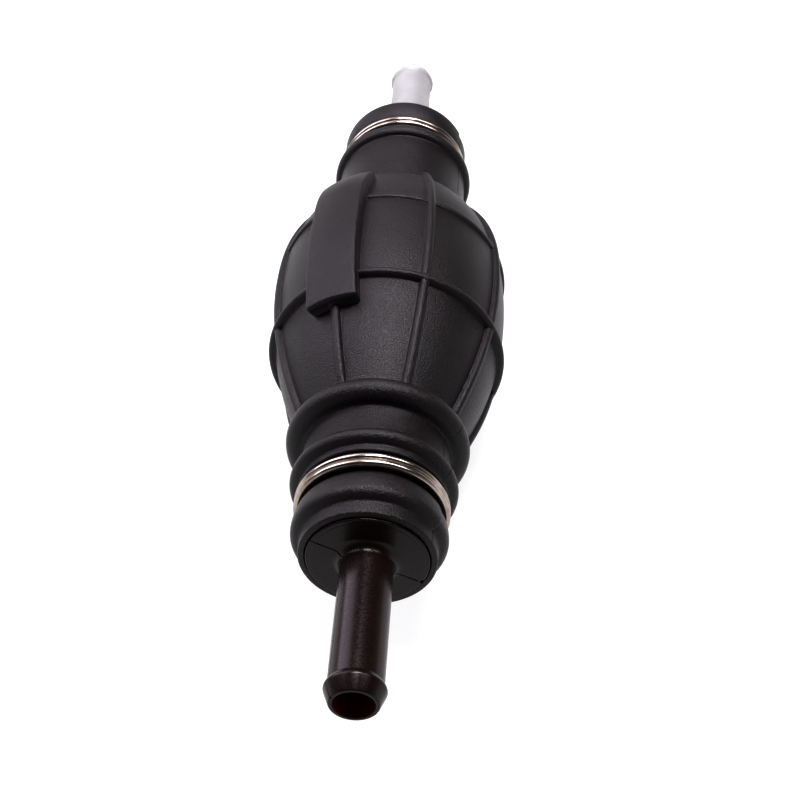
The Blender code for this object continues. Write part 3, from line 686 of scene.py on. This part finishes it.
def moulded_plastic(name, dark, light, roughness):
    """Moulded plastic: it cools with a faint cloudiness and a very fine pebble from the mould, and its
    gloss varies a little from place to place."""
    made = bpy.data.materials.new(name)
    made.use_nodes = True
    tree = made.node_tree
    shader = tree.nodes["Principled BSDF"]
    place = add(tree, "ShaderNodeTexCoord").outputs["Object"]
    cloud = add(tree, "ShaderNodeTexNoise", {"Vector": place, "Scale": 1 / (5 * MM), "Detail": 3.0})
    tone = add(tree, "ShaderNodeValToRGB", {"Fac": cloud.outputs["Fac"]})
    tone.color_ramp.elements[0].position, tone.color_ramp.elements[1].position = 0.35, 0.65
    tone.color_ramp.elements[0].color = linear(dark)
    tone.color_ramp.elements[1].color = linear(light)
    tree.links.new(tone.outputs["Color"], shader.inputs["Base Color"])
    noise = {"Vector": place, "Scale": 1 / (PEBBLE * MM), "Detail": 2.0}
    pebble = add(tree, "ShaderNodeTexNoise", noise).outputs["Fac"]
    gloss = add(tree, "ShaderNodeMapRange", {"Value": pebble, "From Min": 0.3, "From Max": 0.7})
    gloss.inputs["To Min"].default_value = roughness - 0.04
    gloss.inputs["To Max"].default_value = roughness + 0.05
    tree.links.new(gloss.outputs["Result"], shader.inputs["Roughness"])
    bump = add(tree, "ShaderNodeBump", {"Height": pebble, "Strength": 0.05, "Distance": 0.02 * MM})
    tree.links.new(bump.outputs["Normal"], shader.inputs["Normal"])
    return made


black_nylon = moulded_plastic("black_nylon", "#170b0a", "#1e100f", 0.25)
black_nylon.node_tree.nodes["Principled BSDF"].inputs["IOR"].default_value = 1.38
# Inside the bore the same nylon is painted a lighter brown: painted light, standing in for the little
# light that its thin wall lets through
bore_painted_light = moulded_plastic("black_nylon_painted_bore_light", "#5a1d14", "#662419", 0.40)
# Natural nylon is milky: light spreads a few millimetres inside it
white_nylon = moulded_plastic("white_nylon", "#8d8d8b", "#959593", 0.45)
milky = white_nylon.node_tree.nodes["Principled BSDF"]
milky.inputs["Subsurface Weight"].default_value = 1.0
milky.inputs["Subsurface Radius"].default_value = (1.0, 1.0, 1.0)
milky.inputs["Subsurface Scale"].default_value = 5 * MM
for node, end, nylon in (("inlet_connector", -1, black_nylon), ("outlet_connector", 1, white_nylon)):
    nozzle = make_connector(node.replace("connector", "nozzle"), end)
    nozzle.data.materials.append(nylon)
    if end < 0:
        nozzle.data.materials.append(bore_painted_light)
        # Faces inside the bore take the lighter brown of the painted light
        for face in nozzle.data.polygons:
            reach = math.hypot(face.center.x, face.center.z - AXIS_Z * MM)
            face.material_index = 1 if reach < (BORE + 0.05) * MM else 0
    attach(nozzle, "pump")
    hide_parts(node)


# ---------------------------------------------------------------------------------------------------
# Wire clamps
# Each neck is squeezed onto its cup by two turns of bright nickel-plated steel wire, laid side by side
# like a split ring. The wire steps sideways once, where one turn passes into the other.

CLAMP_Y = 45.55
CLAMP = 11.4
CLAMP_WIRE = 0.6
CLAMP_PITCH = 1.26
STEP_TURN = 0.05  # share of a turn either side of the middle of the sideways step
STEP_ANGLES = {-1: math.radians(112), 1: math.radians(-100)}
CLAMP_START, CLAMP_STOP = 0.02, 1.98  # in turns


def wire(name, path, radius, sides=14):
    """A round wire along path, points in mm about the pump's axis, with rounded ends."""
    runs = np.gradient(path, axis=0)
    runs /= np.linalg.norm(runs, axis=1)[:, None]
    cap = np.radians([82, 60, 35, 0])
    reach, size = np.sin(cap) * radius, np.cos(cap) * radius
    start, stop = path[:1] - runs[:1] * reach[:, None], path[-1:] + runs[-1:] * reach[::-1, None]
    centres = np.concatenate([start, path[1:-1], stop])
    first, last = np.repeat(runs[:1], len(cap), 0), np.repeat(runs[-1:], len(cap), 0)
    runs = np.concatenate([first, runs[1:-1], last])
    sizes = np.concatenate([size, np.full(len(path) - 2, radius), size[::-1]])
    outwards = centres - np.array([0, 0, AXIS_Z])
    outwards[:, 1] = 0
    outwards /= np.linalg.norm(outwards, axis=1)[:, None]
    side = np.cross(runs, outwards)
    turns = np.linspace(0, 2 * math.pi, sides, endpoint=False)[:, None, None]
    points = centres + (outwards * np.cos(turns) + side * np.sin(turns)) * sizes[:, None]
    return wrap_grid(name, points.transpose(1, 0, 2)[::-1], False)


def clamp_path(end, count=260):
    turns = np.linspace(CLAMP_START, CLAMP_STOP, count)
    step = np.clip((turns - 1 + STEP_TURN) / (2 * STEP_TURN), 0, 1)
    y = end * (CLAMP_Y + CLAMP_PITCH * (0.5 - step * step * (3 - 2 * step)))
    return rings(y, CLAMP, STEP_ANGLES[end] + 2 * math.pi * turns)


def drawn_wire(name, bright, painted_reflection, smooth, rough):
    """Drawn metal wire: almost a mirror, with duller patches where its surface has worn. The same patches
    are painted darker, a painted reflection of dark surroundings laid on at random.
    """
    made = bpy.data.materials.new(name)
    made.use_nodes = True
    tree = made.node_tree
    shader = tree.nodes["Principled BSDF"]
    shader.inputs["Metallic"].default_value = 1.0
    place = add(tree, "ShaderNodeTexCoord").outputs["Object"]
    wear = add(tree, "ShaderNodeTexNoise", {"Vector": place, "Scale": 1 / (3 * MM), "Detail": 4.0})
    tone = add(tree, "ShaderNodeValToRGB", {"Fac": wear.outputs["Fac"]})
    tone.color_ramp.elements[0].position, tone.color_ramp.elements[1].position = 0.35, 0.7
    # The second colour, in the rougher patches, is a painted reflection of dark surroundings
    tone.color_ramp.elements[0].color = linear(bright)
    tone.color_ramp.elements[1].color = linear(painted_reflection)
    tree.links.new(tone.outputs["Color"], shader.inputs["Base Color"])
    gloss = add(tree, "ShaderNodeMapRange", {"Value": wear.outputs["Fac"]})
    gloss.inputs["To Min"].default_value, gloss.inputs["To Max"].default_value = smooth, rough
    tree.links.new(gloss.outputs["Result"], shader.inputs["Roughness"])
    return made


# The warm, darker patch colour is a painted reflection of the brown surroundings
nickel_plated_steel = drawn_wire("nickel_plated_steel", "#b4aca4", "#8e8178", 0.12, 0.30)
for node, end in (("inlet_clamp", -1), ("outlet_clamp", 1)):
    clamp = wire(f"{node}_wire", clamp_path(end), CLAMP_WIRE)
    clamp.data.materials.append(nickel_plated_steel)
    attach(clamp, "pump")
    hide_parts(node)


# ---------------------------------------------------------------------------------------------------
# Valves
# Each cup holds a poppet moulded in acetal, with a rubber ring under its head, a cross of fins for a
# tail, and a stainless spring behind it. The inlet's spring stands on a cage snapped into the cup. At
# the outlet a seat is snapped in there instead, and the spring stands on the end of the bore.

INSERT_IN = 37.3
INSERT_OUT = 39.3
INSERT = 6.8
INLET_SEAT_Y = SEAT_RISE - CUP_FLOOR
OUTLET_SEAT_Y = INSERT_OUT + SEAT_RISE
SEAL_ALONG = 0.9
SEAL = 3.7
SEAL_TUBE = 0.6
POPPET_NECK = 2.8
HEAD = 5.0
HEAD_START = 1.8
HEAD_END = 3.0
TAIL = 2.7
TAIL_END = 12.7
FIN_HALF = 0.5
SPRING_START = 3.3
SPRING_END = 11.3
SPRING_WIRE = 0.3
SPRING_TURNS = 6
END_COIL_PITCH = 0.75
WINDOW_IN = 4.5
WINDOW_OUT = 5.4
SPOKE_HALF = 0.6


def make_poppet(name, seat_y):
    """One skin from nose to tail: round as far as the head, then a cross with rounded fin edges."""
    head = rounded([
        (-0.9, 0.05, 0),
        (-0.9, 1.87, 0.3),
        (0.0, POPPET_NECK, 0.3),
        (HEAD_START, POPPET_NECK, 0.15),
        (HEAD_START, HEAD, 0.2),
        (HEAD_END, HEAD, 0.2),
        (HEAD_END, TAIL + 0.15, 0),
    ])
    tail = [(HEAD_END, 1.0), (HEAD_END + 0.6, 1.0), (TAIL_END - 0.6, 1.0), (TAIL_END - 0.3, 0.98)]
    tail += [(TAIL_END - 0.08, 0.88), (TAIL_END, 0.72)]
    fin_edge = math.degrees(math.asin(FIN_HALF / TAIL))
    half = [2.5, 5, 7.5, 9, fin_edge, 12, 14, 17, 21, 26, 31, 36, 41]
    quarter = [-x for x in half[::-1]] + [0.0] + half + [45.0]
    angle = np.radians([90 * k + x for k in range(4) for x in quarter])
    off = np.abs((angle + math.pi / 4) % (math.pi / 2) - math.pi / 4)
    flat = FIN_HALF / np.maximum(np.sin(off), 1e-6)
    cross = 1 / (TAIL**-12.0 + flat**-12.0) ** (1 / 12)
    round_rows = [rings(seat_y + y, np.full_like(angle, r), angle) for y, r in head]
    cross_rows = [rings(seat_y + y, cross * share, angle) for y, share in tail]
    return wrap_grid(name, np.array(round_rows + cross_rows)[::-1], False)


def make_ring(name, seat_y):
    section = arc((seat_y + SEAL_ALONG, SEAL), (SEAL_TUBE, SEAL_TUBE), 0, 345, 24)
    angle = np.linspace(0, 2 * math.pi, 96, endpoint=False)
    return wrap_grid(name, np.array([rings(y, np.full_like(angle, r), angle) for y, r in section]), True)


def spring_path(seat_y, points_per_turn=36):
    """Even coils, with one closed coil at each end."""
    low, high = SPRING_START + SPRING_WIRE, SPRING_END - SPRING_WIRE
    pitch = (high - low - 2 * END_COIL_PITCH) / (SPRING_TURNS - 2)
    turns = np.linspace(0, SPRING_TURNS, SPRING_TURNS * points_per_turn + 1)
    closed = np.minimum(turns, 1) + np.maximum(0, turns - SPRING_TURNS + 1)
    y = seat_y + low + END_COIL_PITCH * closed + pitch * (turns - closed)
    return rings(y, SEAL, 2 * math.pi * turns)


def make_insert(name, end):
    """The disc that snaps into the cup's mouth, with a raised ring round its hole."""
    outline = rounded([
        (INSERT_OUT + SEAT_RISE, BORE, 0.12),
        (INSERT_OUT + SEAT_RISE, SEAT_LIP, 0.15),
        (INSERT_OUT, SEAT_LIP, 0.2),
        (INSERT_OUT, INSERT, 0.2),
        (INSERT_IN, INSERT, 0.2),
        (INSERT_IN, BORE, 0.12),
    ])
    angle = np.linspace(0, 2 * math.pi, 96, endpoint=False)
    loop = [rings(end * y, np.full_like(angle, r), angle) for y, r in outline[::end]]
    return wrap_grid(name, np.array(loop), True)


def open_windows(disc):
    """Cuts the cage's four windows, and leaves four spokes of even width between rim and hub."""
    low, high = -INSERT_OUT - 1, 1 - INSERT_IN
    section = np.array([(low, WINDOW_IN), (low, WINDOW_OUT), (high, WINDOW_OUT), (high, WINDOW_IN)])
    inset = np.arcsin(SPOKE_HALF / section[:, 1])
    for k in range(4):
        start = math.radians(45 + 90 * k) + inset
        stop = math.radians(135 + 90 * k) - inset
        steps = [start + (stop - start) * t for t in np.linspace(0, 1, 20)]
        rows = np.array([rings(section[:, 0], section[:, 1], angle) for angle in steps])
        window = wrap_grid(f"window_{k + 1}", rows, False)
        cut = disc.modifiers.new("window", "BOOLEAN")
        cut.operation = "DIFFERENCE"
        cut.solver = "EXACT"
        cut.object = window
    seen = disc.evaluated_get(bpy.context.evaluated_depsgraph_get())
    opened = bpy.data.meshes.new_from_object(seen)
    disc.modifiers.clear()
    disc.data = opened
    disc.data.set_sharp_from_angle(angle=math.radians(40))
    for k in range(4):
        bpy.data.objects.remove(bpy.data.objects[f"window_{k + 1}"])


acetal = moulded_plastic("acetal", "#cfcabd", "#dad6ca", 0.32)
seal_rubber = nitrile_rubber("seal_rubber", 0.30, 0.05, False)
stainless_steel = drawn_wire("stainless_steel", "#c9cacb", "#a9aaac", 0.12, 0.30)
for port, seat_y in (("inlet", INLET_SEAT_Y), ("outlet", OUTLET_SEAT_Y)):
    poppet = make_poppet(f"{port}_valve_poppet", seat_y)
    poppet.data.materials.append(acetal)
    seal = make_ring(f"{port}_valve_ring", seat_y)
    seal.data.materials.append(seal_rubber)
    spring = wire(f"{port}_valve_spring", spring_path(seat_y), SPRING_WIRE, 10)
    spring.data.materials.append(stainless_steel)
    for piece, body, node, slot in (
        (poppet, f"{port}_valve", f"{port}_poppet", "valve_acetal"),
        (seal, f"{port}_valve", f"{port}_seal", "seal_rubber"),
        (spring, "pump", f"{port}_spring", "spring_wire"),
    ):
        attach(piece, body)
        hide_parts(node)
    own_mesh(spring)

for node, end in (("inlet_cage", -1), ("outlet_seat", 1)):
    insert = make_insert(f"{node}_insert", end)
    if node == "inlet_cage":
        open_windows(insert)
    insert.data.materials.append(acetal)
    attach(insert, "pump")
    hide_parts(node)
